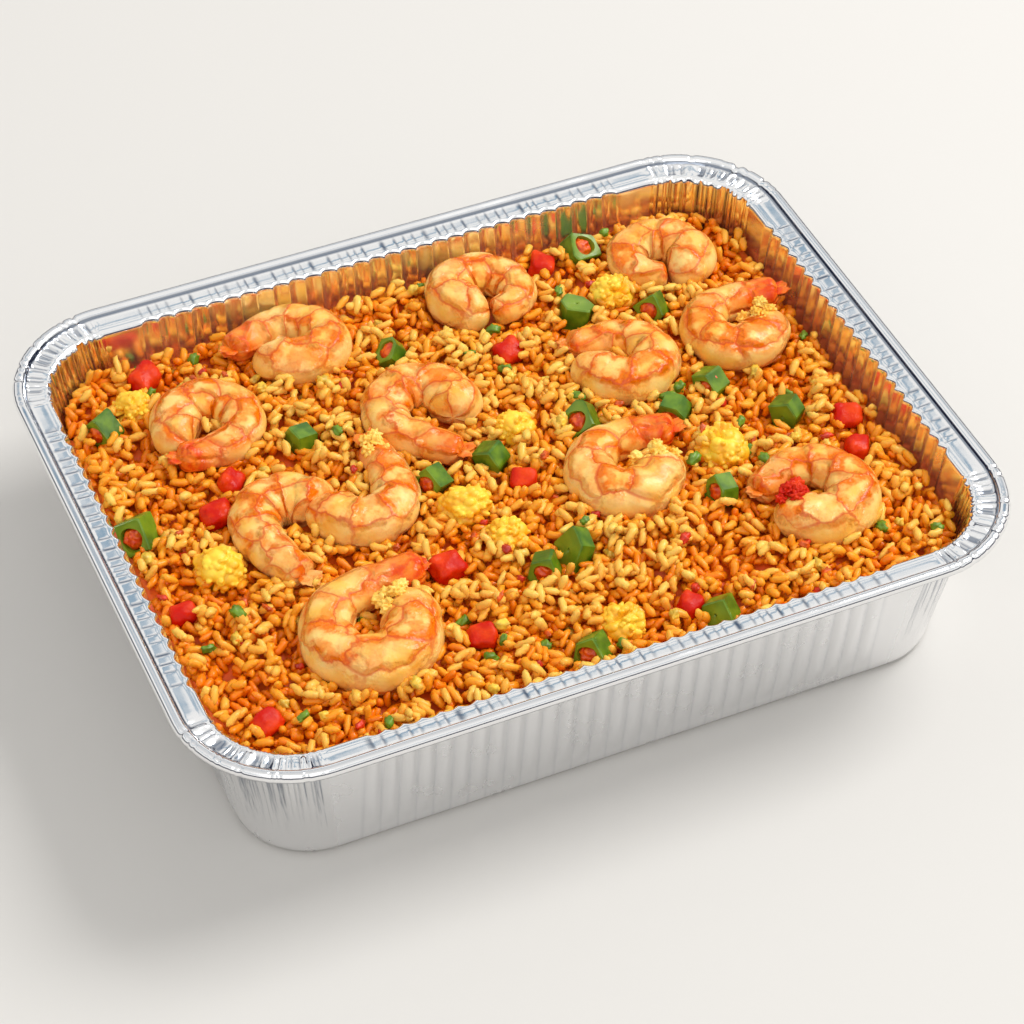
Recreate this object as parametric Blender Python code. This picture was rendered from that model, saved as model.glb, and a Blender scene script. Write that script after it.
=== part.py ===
"""Shrimp fried rice in a fluted foil tray: the tray, the rice bed and its toppings.

Origin at the centre of the tray's underside, +X along the long side, +Z up, metres.
The lengths below are in millimetres and are scaled once, when a mesh is made.
"""
import math
import random

import bmesh
import bpy
from mathutils import Euler, Matrix, Vector, noise
from mathutils.geometry import delaunay_2d_cdt

MM = 0.001

# Foil tray: half-size pan with an open curled rim and fluted walls
TRAY_LENGTH = 324.0
TRAY_WIDTH = 262.0
TRAY_HEIGHT = 70.0
RIM_WIDTH = 13.5
MOUTH_CORNER = 31.5
BASE_LENGTH = 280.0
BASE_WIDTH = 218.0
BASE_CORNER = 29.0
BASE_EDGE_RADIUS = 5.0
WALL_TOP = 66.4
FOIL = 0.4
FLUTE_PITCH = 6.8
FLUTE_DEPTH = 1.3
LONG_FLUTES = 30
SHORT_FLUTES = 21
CORNER_STEPS = 6

# Rice bed
REST_GAP = 0.3
RICE_AT_WALL = 48.5
RICE_CROWN = 4.0
RICE_LUMPS = 2.3
RICE_SPACING = 14.5
RICE_OUTLINE_STEP = 14.0

# Shrimps: a curled tail body that lies on its side in the rice
SHRIMP_HALF_WIDTH = 8.9
SHRIMP_HALF_HEIGHT = 7.8
SHRIMP_HEIGHT = 55.3
SHRIMP_RINGS = 12
SHRIMP_SIDES = 8
DEPTH_AXIS = 66.0

# Vegetables and egg
GREEN_RADIUS = 5.8
GREEN_BORE = 2.7
GREEN_LENGTH = 8.6
RED_SIZE = (11.5, 10.0, 7.5)
EGG_RADIUS = 7.6

# centre x, y, ring radius, squash across the depth axis, head angle, turn, inward head,
# tail length, tail bend, tail rise
SHRIMPS = [
    (-95.5, 64.0, 13.9, 1.00, 222, -308, 0.80, 18, -6, 2.5),
    (-48.5, 94.0, 14.2, 0.86, 178, 292, 0.70, 20, 24, 2.5),
    (31.0, 92.5, 14.2, 0.84, 257, -329, 0.81, 5, -14, 0.0),
    (107.0, 84.0, 13.8, 0.82, 264, 329, 0.80, 5, 12, 0.0),
    (115.5, 33.5, 13.8, 1.00, 4, -268, 0.68, 25, -30, 2.5),
    (65.0, 34.0, 13.9, 0.97, 150, 304, 0.74, 15, -12, 2.0),
    (-16.0, 38.5, 15.2, 1.00, -42, 264, 0.76, 23, 8, 0.0),
    (-56.5, 1.5, 13.4, 1.00, 164, 186, 0.95, 27, 22, 1.0),
    (-81.5, 1.0, 14.0, 1.00, 28, 162, 0.80, 25, 16, 0.0),
    (41.0, -23.0, 14.8, 1.05, 2, -268, 0.66, 26, -34, 2.5),
    (99.5, -64.5, 16.2, 1.05, 176, 296, 0.50, 14, 6, 0.5),
    (-79.0, -62.0, 17.0, 1.08, 42, -302, 0.72, 31, -22, 2.5),
]

# centre x, y, height of the centre, size, lean towards the near side, turn
GREENS = [
    (-132, 80, 53.5, 1.00, 50, 10),
    (-138, 20, 52.5, 0.80, 20, 80),
    (-64, 44, 53.5, 1.00, 35, -30),
    (-14, 76, 53.5, 1.05, 25, 20),
    (80, 106, 52.0, 0.80, 45, 70),
    (62, 69, 53.5, 1.05, 55, -15),
    (91, 59, 53.5, 0.90, 35, 35),
    (92, 9, 54.0, 1.05, 35, 15),
    (112, -17, 53.5, 1.00, 20, -50),
    (36, 9, 54.5, 1.05, 30, 60),
    (72, 0, 54.0, 1.00, 40, -10),
    (-2, 5, 54.0, 1.10, 25, -25),
    (-28, 2, 54.0, 1.10, 30, 25),
    (-8, -57, 54.0, 1.05, 45, -40),
    (6, -54, 54.0, 0.95, 30, 30),
    (70, -46, 53.5, 1.00, 35, 5),
    (-9, -101, 52.0, 0.90, 30, 45),
    (42, -101, 52.0, 0.85, 15, 85),
]
REDS = [
    (-108, 101, 53.0, 1.10, 20, 35),
    (62, 103, 52.0, 1.00, 15, 60),
    (28, 58, 53.5, 1.10, 25, 20),
    (4, -10, 53.5, 0.90, 20, -30),
    (-108, 18, 53.5, 1.05, 15, 15),
    (-97, 33, 53.0, 0.90, 30, 50),
    (-40, -42, 54.0, 1.15, 20, 10),
    (-42, -78, 53.0, 0.95, 25, -20),
    (33, -94, 52.5, 0.90, 15, 40),
    (-136, -24, 52.0, 0.90, 30, 5),
    (133, -27, 52.5, 1.00, 20, -10),
    (128, -44, 52.5, 0.90, 10, 70),
    (-127, -86, 52.0, 0.95, 20, 25),
]
EGGS = [
    (80, 74, 54.0, 0.90, 0, 10),
    (12, 17, 53.5, 0.85, 0, 50),
    (80, -25, 54.0, 1.05, 0, 90),
    (-21, -15, 54.0, 1.00, 0, 130),
    (-117, -9, 53.5, 1.00, 0, 170),
    (-117, 87, 52.5, 0.80, 0, 210),
    (-14, -36, 53.5, 0.90, 0, 250),
    (7, -91, 52.0, 0.85, 0, 290),
]

FOIL_LOOK = ("foil", (0.78, 0.79, 0.81), 0.28, 1.0)
RICE_LOOK = ("cooked_rice", (0.86, 0.47, 0.13), 0.45, 0.0)
SHRIMP_LOOK = ("shrimp_flesh", (0.93, 0.62, 0.36), 0.35, 0.0)
GREEN_LOOK = ("green_vegetable", (0.12, 0.36, 0.05), 0.35, 0.0)
RED_LOOK = ("red_pepper", (0.70, 0.05, 0.02), 0.28, 0.0)
EGG_LOOK = ("scrambled_egg", (0.96, 0.68, 0.10), 0.50, 0.0)


def material(look):
    """One Principled material for each named look."""
    name, colour, roughness, metallic = look
    found = bpy.data.materials.get(name)
    if found:
        return found
    made = bpy.data.materials.new(name)
    made.use_nodes = True
    shader = made.node_tree.nodes["Principled BSDF"]
    shader.inputs["Base Color"].default_value = (*colour, 1.0)
    shader.inputs["Roughness"].default_value = roughness
    shader.inputs["Metallic"].default_value = metallic
    return made


def finished(bm, name, look, smooth_angle=35.0):
    """Turns the millimetre mesh into an object in metres, its bent quads cut the same way."""
    bmesh.ops.recalc_face_normals(bm, faces=bm.faces)
    bmesh.ops.triangulate(bm, faces=bm.faces, quad_method="FIXED")
    bmesh.ops.scale(bm, vec=(MM, MM, MM), verts=bm.verts)
    mesh = bpy.data.meshes.new(name)
    bm.to_mesh(mesh)
    bm.free()
    mesh.shade_smooth()
    mesh.set_sharp_from_angle(angle=math.radians(smooth_angle))
    mesh.materials.append(material(look))
    made = bpy.data.objects.new(name, mesh)
    bpy.context.collection.objects.link(made)
    return made


def skin(bm, rings):
    """Bridges closed rings of points into quads; returns the rings of vertices."""
    made = [[bm.verts.new(point) for point in ring] for ring in rings]
    for low, high in zip(made, made[1:]):
        for i in range(len(low)):
            j = (i + 1) % len(low)
            bm.faces.new((low[i], low[j], high[j], high[i]))
    return made


def fan(bm, ring, centre):
    """Closes a ring with a fan of triangles about its centre."""
    middle = bm.verts.new(centre)
    for i, vertex in enumerate(ring):
        bm.faces.new((vertex, ring[(i + 1) % len(ring)], middle))


# ---------------------------------------------------------------- tray

def side_stations(flutes):
    """Places along a straight side with the flute's swing there, -1, 0 or +1."""
    start = -flutes * FLUTE_PITCH / 2
    stations = [(start, 0.0)]
    for i in range(2 * flutes - 1):
        stations.append((start + (i + 1) * FLUTE_PITCH / 2, 1.0 if i % 2 else -1.0))
    stations.append((-start, 0.0))
    return stations


LONG_STATIONS = side_stations(LONG_FLUTES)
SHORT_STATIONS = side_stations(SHORT_FLUTES)


def tray_ring(half_x, half_y, corner, z, flute=0.0):
    """One level of the tray: straight fluted sides joined by plain round corners."""
    points = []
    swing = flute * FLUTE_DEPTH / 2
    for side in range(4):
        stations = SHORT_STATIONS if side % 2 else LONG_STATIONS
        along, across = (half_y, half_x) if side % 2 else (half_x, half_y)
        turn = side * math.pi / 2
        flat = [(place, -(across + out * swing)) for place, out in stations]
        for step in range(CORNER_STEPS + 1):
            angle = math.pi / 2 * (step / CORNER_STEPS - 1)
            flat.append((along - corner + corner * math.cos(angle),
                         corner - across + corner * math.sin(angle)))
        for u, v in flat:
            points.append((u * math.cos(turn) - v * math.sin(turn),
                           u * math.sin(turn) + v * math.cos(turn), z))
    return points


def wall_half(z, base, mouth, lining):
    """Half the distance between two facing walls at height z, on the inner or outer skin."""
    share = (z - BASE_EDGE_RADIUS) / (WALL_TOP - BASE_EDGE_RADIUS)
    return base / 2 - lining + (mouth / 2 - (base / 2 - FOIL)) * share


def corner_radius(z):
    """The wall's corner radius at height z."""
    return BASE_CORNER + (MOUTH_CORNER - BASE_CORNER) * z / WALL_TOP


MOUTH_LENGTH = TRAY_LENGTH - 2 * RIM_WIDTH
MOUTH_WIDTH = TRAY_WIDTH - 2 * RIM_WIDTH

# The rim's section: distance out from the mouth's edge and depth below the rim's top
RIM_SECTION = [
    (8.3, 2.6), (9.3, 0.6), (11.6, 0.0), (13.2, 1.2), (13.5, 2.6), (12.6, 4.0), (11.0, 3.9),
    (11.2, 3.5), (12.4, 3.6), (13.1, 2.5), (12.9, 1.5), (11.6, 0.42), (9.6, 1.0), (8.6, 3.05),
]


def make_tray():
    """Thin pressed foil: inner skin up from the floor, over the curled rim and back down."""
    def level(z, lining, flute=0.0):
        return tray_ring(wall_half(z, BASE_LENGTH, MOUTH_LENGTH, lining),
                         wall_half(z, BASE_WIDTH, MOUTH_WIDTH, lining),
                         corner_radius(z) - lining, z, flute)

    def edge(lining):
        """The rounded edge between floor and wall."""
        radius = BASE_EDGE_RADIUS - lining
        rings = []
        for degrees in (0, 35, 65):
            angle = math.radians(degrees)
            out = BASE_EDGE_RADIUS - radius * math.sin(angle) - lining
            ring = tray_ring(BASE_LENGTH / 2 - lining - out, BASE_WIDTH / 2 - lining - out,
                             BASE_CORNER - lining - out,
                             BASE_EDGE_RADIUS - radius * math.cos(angle))
            rings.append(ring)
        return rings

    inner = edge(FOIL) + [level(BASE_EDGE_RADIUS + 1, FOIL), level(WALL_TOP, FOIL, 1.0)]
    outer = edge(0.0) + [level(BASE_EDGE_RADIUS + 1, 0.0), level(BASE_EDGE_RADIUS + 6, 0.0, 1.0),
                         level(WALL_TOP - FOIL, 0.0, 1.0)]
    rim = [tray_ring(MOUTH_LENGTH / 2 + out, MOUTH_WIDTH / 2 + out, MOUTH_CORNER + out,
                     TRAY_HEIGHT - down) for out, down in RIM_SECTION]
    bm = bmesh.new()
    rings = skin(bm, inner + rim + outer[::-1])
    fan(bm, rings[0], (0, 0, FOIL))
    fan(bm, rings[-1], (0, 0, 0))
    return finished(bm, "foil_tray", FOIL_LOOK)


# ---------------------------------------------------------------- rice

def rice_height(x, y):
    """The bed's uneven top: a low crown with lumps as wide as a spoonful's crumbs."""
    crown = (1 - (2 * x / MOUTH_LENGTH) ** 4) * (1 - (2 * y / MOUTH_WIDTH) ** 4)
    broad = noise.noise(Vector((x / 42, y / 42, 3.0)))
    fine = noise.noise(Vector((x / 15, y / 15, 8.0)))
    return RICE_AT_WALL + RICE_CROWN * crown + RICE_LUMPS * (1.1 * broad + fine)


def rice_ring(z):
    """The bed's edge at height z, clear of the flutes and evenly divided."""
    clear = FLUTE_DEPTH / 2 + REST_GAP
    half_x = wall_half(z, BASE_LENGTH, MOUTH_LENGTH, FOIL) - clear
    half_y = wall_half(z, BASE_WIDTH, MOUTH_WIDTH, FOIL) - clear
    corner = corner_radius(z) - FOIL - clear
    ring = []
    for side in range(4):
        along, across = (half_y, half_x) if side % 2 else (half_x, half_y)
        turn = side * math.pi / 2
        steps = round((BASE_WIDTH if side % 2 else BASE_LENGTH) / RICE_OUTLINE_STEP)
        flat = [((2 * i / steps - 1) * (along - corner), -across) for i in range(steps)]
        for step in range(5):
            angle = math.pi / 2 * (step / 5 - 1)
            flat.append((along - corner + corner * math.cos(angle),
                         corner - across + corner * math.sin(angle)))
        ring += [Vector((u * math.cos(turn) - v * math.sin(turn),
                         u * math.sin(turn) + v * math.cos(turn))) for u, v in flat]
    return ring


def make_rice(pockets):
    """One solid from the tray's floor to the uneven top, with a pocket under each topping."""
    rng = random.Random(4)
    edge = rice_ring(RICE_AT_WALL)
    inside = []
    rows = int(MOUTH_WIDTH / RICE_SPACING)
    columns = int(MOUTH_LENGTH / RICE_SPACING)
    reach_x = max(point.x for point in edge) - 0.6 * RICE_SPACING
    reach_y = max(point.y for point in edge) - 0.6 * RICE_SPACING
    corner = BASE_CORNER - 0.6 * RICE_SPACING
    for row in range(rows):
        for column in range(columns):
            x = (column + 0.5 * (row % 2) - columns / 2 + 0.25) * RICE_SPACING + rng.uniform(-2, 2)
            y = (row - rows / 2 + 0.5) * RICE_SPACING + rng.uniform(-2, 2)
            past = Vector((max(abs(x) - reach_x + corner, 0), max(abs(y) - reach_y + corner, 0)))
            if past.length < corner:
                inside.append(Vector((x, y)))
    count = len(edge)
    loop = [(i, (i + 1) % count) for i in range(count)]
    points, _, faces, *_ = delaunay_2d_cdt(edge + inside, loop, [], 1, 1e-4)
    bm = bmesh.new()
    top = [bm.verts.new((p.x, p.y, rice_height(p.x, p.y))) for p in points]
    for face in faces:
        bm.faces.new([top[i] for i in face])
    rims = [top[:count]]
    for z, inset in ((BASE_EDGE_RADIUS, 0.0), (FOIL + REST_GAP, 6.0)):
        ring = rice_ring(z)
        shrink = 1 - inset / (BASE_LENGTH / 2)
        rims.append([bm.verts.new((p.x * shrink, p.y * shrink, z)) for p in ring])
    for high, low in zip(rims, rims[1:]):
        for i, j in loop:
            bm.faces.new((high[i], low[i], low[j], high[j]))
    fan(bm, rims[-1], (0, 0, FOIL + REST_GAP))
    rice = finished(bm, "rice_heap", RICE_LOOK, 60.0)
    cut = rice.modifiers.new("pockets", "BOOLEAN")
    cut.operation = "DIFFERENCE"
    cut.solver = "EXACT"
    cut.object = pockets
    return rice


# ---------------------------------------------------------------- toppings

def shrimp_path(spec, count):
    """Centre points of one shrimp from its head end to its tail, evenly spaced."""
    x, y, radius, squash, head, turn, inward, tail, bend, rise = spec
    depth = math.radians(DEPTH_AXIS)
    line = []
    for i in range(61):
        share = i / 60
        angle = math.radians(head + turn * share)
        reach = radius * (inward + (1 - inward) * min(1.0, share * 1.8))
        across = reach * math.cos(angle - depth) * squash
        beside = reach * math.sin(angle - depth)
        line.append(Vector((across * math.cos(depth) - beside * math.sin(depth),
                            across * math.sin(depth) + beside * math.cos(depth), 0.0)))
    heading = line[-1] - line[-2]
    heading.normalize()
    for i in range(20):
        heading.rotate(Euler((0, 0, math.radians(bend / 20))))
        line.append(line[-1] + heading * tail / 20)
        line[-1].z = rise * ((i + 1) / 20) ** 2
    lengths = [0.0]
    for a, b in zip(line, line[1:]):
        lengths.append(lengths[-1] + (b - a).length)
    path = []
    j = 0
    for i in range(count):
        goal = lengths[-1] * i / (count - 1)
        while j < len(line) - 2 and lengths[j + 1] < goal:
            j += 1
        part = (goal - lengths[j]) / (lengths[j + 1] - lengths[j])
        path.append(line[j].lerp(line[j + 1], part) + Vector((x, y, SHRIMP_HEIGHT)))
    return path


def shrimp_girth(share):
    """Body width along the shrimp: blunt head end, full middle, slim tail, small fan."""
    blunt = math.sqrt(max(0.0, 1 - (1 - min(1.0, share / 0.09)) ** 2))
    taper = 1 - 0.42 * max(0.0, (share - 0.35) / 0.65) ** 1.3
    end = math.sqrt(max(0.0, 1 - max(0.0, (share - 0.97) / 0.035) ** 2))
    return max(0.3, blunt) * taper * max(0.45, end)


def add_shrimp(bm, spec, grow=0.0):
    """A curled tapering body swept along its path, with closed ends."""
    path = shrimp_path(spec, SHRIMP_RINGS)
    ends = [path[0] + (path[0] - path[1]).normalized() * (0.5 + grow),
            path[-1] + (path[-1] - path[-2]).normalized() * (0.5 + grow)]
    rings = []
    for i, point in enumerate(path):
        ahead = path[min(i + 1, len(path) - 1)] - path[max(i - 1, 0)]
        side = ahead.cross(Vector((0, 0, 1))).normalized()
        up = side.cross(ahead).normalized()
        girth = shrimp_girth(i / (len(path) - 1))
        wide = SHRIMP_HALF_WIDTH * girth + grow
        high = SHRIMP_HALF_HEIGHT * girth + grow
        ring = []
        for step in range(SHRIMP_SIDES):
            angle = 2 * math.pi * (step + 0.5) / SHRIMP_SIDES
            ring.append(point + side * wide * math.cos(angle) + up * high * math.sin(angle))
        rings.append(ring)
    rings = skin(bm, rings)
    fan(bm, rings[0], ends[0])
    fan(bm, rings[-1], ends[1])


def place_new(bm, start, spec):
    """Leans, turns and moves the vertices made since start, which lie about the origin."""
    x, y, z, _, lean, turn = spec
    lie = Euler((math.radians(lean), 0, math.radians(turn))).to_matrix().to_4x4()
    bm.verts.ensure_lookup_table()
    bmesh.ops.transform(bm, matrix=Matrix.Translation((x, y, z)) @ lie, verts=bm.verts[start:])


def add_green(bm, spec, grow=0.0):
    """A thick-walled slice of a hollow green stalk; its pocket is cut without the bore."""
    size = spec[3]
    rng = random.Random(round(spec[0] * 7 + spec[1]))
    sides = 7
    bulge = [rng.uniform(0.88, 1.1) for _ in range(sides)]
    half = GREEN_LENGTH * size / 2 + grow

    def ring(radius, z, even=False):
        return [(radius * (1 if even else bulge[i]) * math.cos(2 * math.pi * i / sides),
                 radius * (1 if even else bulge[i]) * math.sin(2 * math.pi * i / sides), z)
                for i in range(sides)]
    outer = GREEN_RADIUS * size + grow
    start = len(bm.verts)
    if grow:
        rings = skin(bm, [ring(outer, -half), ring(outer, half)])
        fan(bm, rings[0], (0, 0, -half))
        fan(bm, rings[1], (0, 0, half))
    else:
        bore = GREEN_BORE * size
        rings = skin(bm, [ring(outer, -half), ring(outer, half), ring(bore, half, True),
                          ring(bore, -half, True)])
        for i in range(sides):
            j = (i + 1) % sides
            bm.faces.new((rings[3][i], rings[3][j], rings[0][j], rings[0][i]))
    place_new(bm, start, spec)


def add_red(bm, spec, grow=0.0):
    """An unevenly cut dice of pepper with its corners knocked off."""
    rng = random.Random(round(spec[0] * 5 + spec[1] * 3))
    start = len(bm.verts)
    made = bmesh.ops.create_cube(bm, size=1.0)["verts"]
    for vertex in made:
        for axis in range(3):
            skew = rng.uniform(0.80, 1.04)
            vertex.co[axis] *= RED_SIZE[axis] * spec[3] * skew
            vertex.co[axis] += math.copysign(grow, vertex.co[axis])
    place_new(bm, start, spec)


def add_egg(bm, spec, grow=0.0):
    """A lump of scrambled egg with a curdled surface."""
    radius = EGG_RADIUS * spec[3]
    start = len(bm.verts)
    bmesh.ops.create_icosphere(bm, subdivisions=2, radius=1.0)
    bm.verts.ensure_lookup_table()
    for vertex in bm.verts[start:]:
        bump = 1 + 0.32 * noise.noise(vertex.co * 1.9 + Vector((spec[0], spec[1], 0)))
        vertex.co = vertex.co * (radius * bump + grow)
        vertex.co.z *= 0.85
    place_new(bm, start, spec)


TOPPINGS = [
    ("shrimp", add_shrimp, SHRIMPS, SHRIMP_LOOK),
    ("green", add_green, GREENS, GREEN_LOOK),
    ("red", add_red, REDS, RED_LOOK),
    ("egg", add_egg, EGGS, EGG_LOOK),
]
POCKET_GAP = 0.45


def make_toppings():
    """Every topping as its own object, and all the pockets as one hidden cutter."""
    pockets = bmesh.new()
    for kind, add, specs, look in TOPPINGS:
        for number, spec in enumerate(specs, 1):
            bm = bmesh.new()
            add(bm, spec)
            finished(bm, f"{kind}_{number}", look)
            add(pockets, spec, POCKET_GAP)
    cutter = finished(pockets, "pocket_cutter", RICE_LOOK)
    cutter.hide_render = True
    cutter.display_type = "WIRE"
    return cutter


for old in list(bpy.data.objects):
    bpy.data.objects.remove(old, do_unlink=True)
make_tray()
make_rice(make_toppings())
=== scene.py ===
"""Shrimp fried rice in its foil tray: the looks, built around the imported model."""
import math
import random

import bmesh
import bpy
import numpy as np
from mathutils import Matrix, Vector, noise


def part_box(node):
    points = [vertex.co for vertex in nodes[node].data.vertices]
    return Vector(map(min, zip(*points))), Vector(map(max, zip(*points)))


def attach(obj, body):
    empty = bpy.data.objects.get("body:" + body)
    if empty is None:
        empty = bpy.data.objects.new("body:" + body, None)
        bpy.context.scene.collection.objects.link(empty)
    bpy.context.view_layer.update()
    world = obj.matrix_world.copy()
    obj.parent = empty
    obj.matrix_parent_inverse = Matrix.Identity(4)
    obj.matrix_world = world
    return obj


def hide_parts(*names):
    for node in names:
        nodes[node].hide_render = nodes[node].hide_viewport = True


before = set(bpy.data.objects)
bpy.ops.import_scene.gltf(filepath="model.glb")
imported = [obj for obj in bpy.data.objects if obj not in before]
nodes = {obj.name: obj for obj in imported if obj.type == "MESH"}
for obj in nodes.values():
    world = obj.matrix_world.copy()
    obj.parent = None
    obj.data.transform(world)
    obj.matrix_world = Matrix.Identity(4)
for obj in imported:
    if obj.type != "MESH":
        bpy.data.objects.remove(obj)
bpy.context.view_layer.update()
bpy.ops.object.select_all(action="DESELECT")
MM = 0.001

# ------------------------------------------------------------------ studio
# A pale seamless table under one wide soft lamp at the right and a weak one at the left.
# In mirrors the room is white, with a blue-grey band half-way up and a dark one at eye
# level, which draw the foil's ribs and edges.
scene = bpy.context.scene
scene.view_settings.view_transform = "Standard"


def vector_from(azimuth, elevation):
    """Unit vector towards a place seen at that azimuth (0 is the -Y side) and elevation."""
    a, e = math.radians(azimuth), math.radians(elevation)
    return Vector((math.sin(a) * math.cos(e), -math.cos(a) * math.cos(e), math.sin(e)))


def aimed(thing, place, target):
    """Puts a lamp or camera at a place and turns it to look at the target."""
    thing.location = place
    thing.rotation_euler = (target - place).to_track_quat("-Z", "Y").to_euler()


CAMERA_TARGET = Vector((0.0029, -0.0026, 0.030))
CAMERA_DISTANCE = 1.2295
TO_CAMERA = vector_from(-23.7, 44.1)
bpy.ops.object.camera_add()
camera = bpy.context.object
aimed(camera, CAMERA_TARGET + TO_CAMERA * CAMERA_DISTANCE, CAMERA_TARGET)
camera.data.lens = 113.0
scene.camera = camera


def lamp(name, azimuth, elevation, distance, size, power):
    """A soft square lamp that faces the tray."""
    bpy.ops.object.light_add(type="AREA")
    made = bpy.context.object
    made.name = name
    made.data.size = size
    made.data.energy = power
    aimed(made, vector_from(azimuth, elevation) * distance, Vector((0, 0, 0.03)))


lamp("key_lamp", 94, 50, 2.6, 1.2, 47.0)
lamp("fill_lamp", -25, 50, 2.2, 1.4, 7.0)


def new_material(name):
    """A material with nothing in it but its shader; returns it with its tree and shader."""
    made = bpy.data.materials.new(name)
    made.use_nodes = True
    return made, made.node_tree, made.node_tree.nodes["Principled BSDF"]


def add_node(tree, kind, links=None, **settings):
    """Adds a shader node, sets its properties or sockets, and links sockets by name or number."""
    made = tree.nodes.new("ShaderNode" + kind)
    for key, value in settings.items():
        if hasattr(made, key):
            setattr(made, key, value)
        else:
            made.inputs[key.replace("_", " ").title()].default_value = value
    for key, value in (links or {}).items():
        if isinstance(value, bpy.types.NodeSocket):
            tree.links.new(value, made.inputs[key])
        else:
            made.inputs[key].default_value = value
    return made


def mix_colour(tree, factor, first, second, blend="MIX"):
    """Mixes two colours, each a socket or a plain colour; returns the result's socket."""
    made = tree.nodes.new("ShaderNodeMix")
    made.data_type = "RGBA"
    made.blend_type = blend
    for socket, value in ((made.inputs[0], factor), (made.inputs[6], first), (made.inputs[7], second)):
        if isinstance(value, bpy.types.NodeSocket):
            tree.links.new(value, socket)
        elif isinstance(value, tuple):
            socket.default_value = (*value, 1.0)
        else:
            socket.default_value = value
    return made.outputs[2]


def between(tree, value, low, high, out_low=0.0, out_high=1.0):
    """Smoothly maps a value's range; returns the result's socket."""
    made = add_node(tree, "MapRange", {0: value, 1: low, 2: high, 3: out_low, 4: out_high},
                    interpolation_type="SMOOTHSTEP")
    return made.outputs[0]


def calc(tree, operation, *values):
    """One Math node; returns its socket."""
    made = add_node(tree, "Math", dict(enumerate(values)), operation=operation)
    return made.outputs[0]


def noise_value(tree, scale, detail=2.0, vector=None, roughness=0.5):
    """Noise on Object coordinates or on another vector; returns the value's socket."""
    if vector is None:
        vector = add_node(tree, "TexCoord").outputs["Object"]
    made = add_node(tree, "TexNoise", {"Vector": vector, "Scale": scale, "Detail": detail,
                                       "Roughness": roughness})
    return made.outputs["Fac"]


def bump(tree, shader, height, distance, strength=1.0):
    """Joins a height to the shader as bump, its distance in metres."""
    made = add_node(tree, "Bump", {"Height": height, "Distance": distance, "Strength": strength})
    tree.links.new(made.outputs["Normal"], shader.inputs["Normal"])


def srgb(red, green, blue):
    """A colour given in the usual 0 to 255, as linear light."""
    return tuple(c / 12.92 if c <= 0.04045 else ((c + 0.055) / 1.055) ** 2.4
                 for c in (red / 255, green / 255, blue / 255))


world = bpy.data.worlds.new("studio")
scene.world = world
world.use_nodes = True
sky = world.node_tree
ray = add_node(sky, "LightPath")
seen = calc(sky, "MINIMUM", calc(sky, "ADD", ray.outputs["Is Camera Ray"], calc(
    sky, "ADD", ray.outputs["Is Glossy Ray"], ray.outputs["Is Transmission Ray"])), 1.0)
heading = add_node(sky, "SeparateXYZ", {0: add_node(sky, "TexCoord").outputs["Generated"]})
dark_band = between(sky, heading.outputs["Z"], 0.32, 0.20)
blue_band = calc(sky, "MULTIPLY", between(sky, heading.outputs["Z"], 0.640, 0.656),
                 between(sky, heading.outputs["Z"], 0.725, 0.700))
room = mix_colour(sky, blue_band, srgb(250, 249, 247), srgb(146, 172, 192))
room = mix_colour(sky, dark_band, room, srgb(34, 46, 72))
mirror_colour = mix_colour(sky, ray.outputs["Is Glossy Ray"], srgb(238, 236, 232), room)
background = sky.nodes["Background"]
sky.links.new(mix_colour(sky, seen, (0.72, 0.72, 0.72), mirror_colour), background.inputs["Color"])
background.inputs["Strength"].default_value = 1.0

bpy.ops.mesh.primitive_plane_add(size=9.0, location=(0, 0, 0))
floor = bpy.context.object
floor.name = "table"
floor_look, tree, shader = new_material("table_paper")
shader.inputs["Base Color"].default_value = (*srgb(214, 211, 206), 1)
shader.inputs["Roughness"].default_value = 0.9
shader.inputs["Specular IOR Level"].default_value = 0.1
floor.data.materials.append(floor_look)

# ------------------------------------------------------------------ foil tray
# A half-size pan pressed from thin foil. Its walls are fluted, its corners gathered into
# fine pleats, its flat rim ribbed, and the rim's edge is rolled into a hollow bead.
TRAY_LOW, TRAY_HIGH = (np.array(corner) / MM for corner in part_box("foil_tray"))
TRAY_HALF = (TRAY_HIGH - TRAY_LOW)[:2] / 2
TRAY_TOP = TRAY_HIGH[2]
RIM_WIDTH = 13.5
MOUTH_CORNER = 31.5
BASE_HALF = np.array((140.0, 109.0))
BASE_CORNER = 29.0
EDGE_RADIUS = 5.0
WALL_TOP = TRAY_TOP - 3.6
FOIL = 0.3
FLUTE_PITCH = 6.8
FLUTE_DEPTH = 1.5
FLUTED_HALF = (102.0, 71.4)
rng = np.random.default_rng(11)


def wavy(position, seed, wavelength):
    """Repeatable smooth noise of about -1 to 1 along a line or over a plane."""
    return np.array([noise.noise(Vector((p[0] / wavelength, p[1] / wavelength, seed)))
                     for p in position]) * 1.8


# Stations round the tray: which side, the share of the way along its plain end stretch or
# its place between the flutes, or the angle in a corner; and the length run so far.
stations = []
for side in range(4):
    reach = FLUTED_HALF[side % 2]
    stations += [(side, "end", -1 + q / 7) for q in range(7)]
    steps = int(round(2 * reach / FLUTE_PITCH)) * 16
    stations += [(side, "flute", -reach + 2 * reach * i / steps) for i in range(steps + 1)]
    stations += [(side, "end", q / 7) for q in range(1, 7)]
    stations += [(side, "corner", i / 150) for i in range(150)]
SIDE = np.array([s[0] for s in stations])
KIND = np.array([s[1] for s in stations])
PLACE = np.array([s[2] for s in stations])
IN_CORNER = KIND == "corner"
IN_FLUTES = KIND == "flute"
flute_number = np.floor(PLACE / FLUTE_PITCH).astype(int) + 97 * SIDE
flute_strength = 0.8 + 0.35 * rng.random(1000)[flute_number % 1000]
FLUTE = np.where(IN_FLUTES, np.abs(np.sin(math.pi * PLACE / FLUTE_PITCH)) * flute_strength, 0.0)


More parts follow.
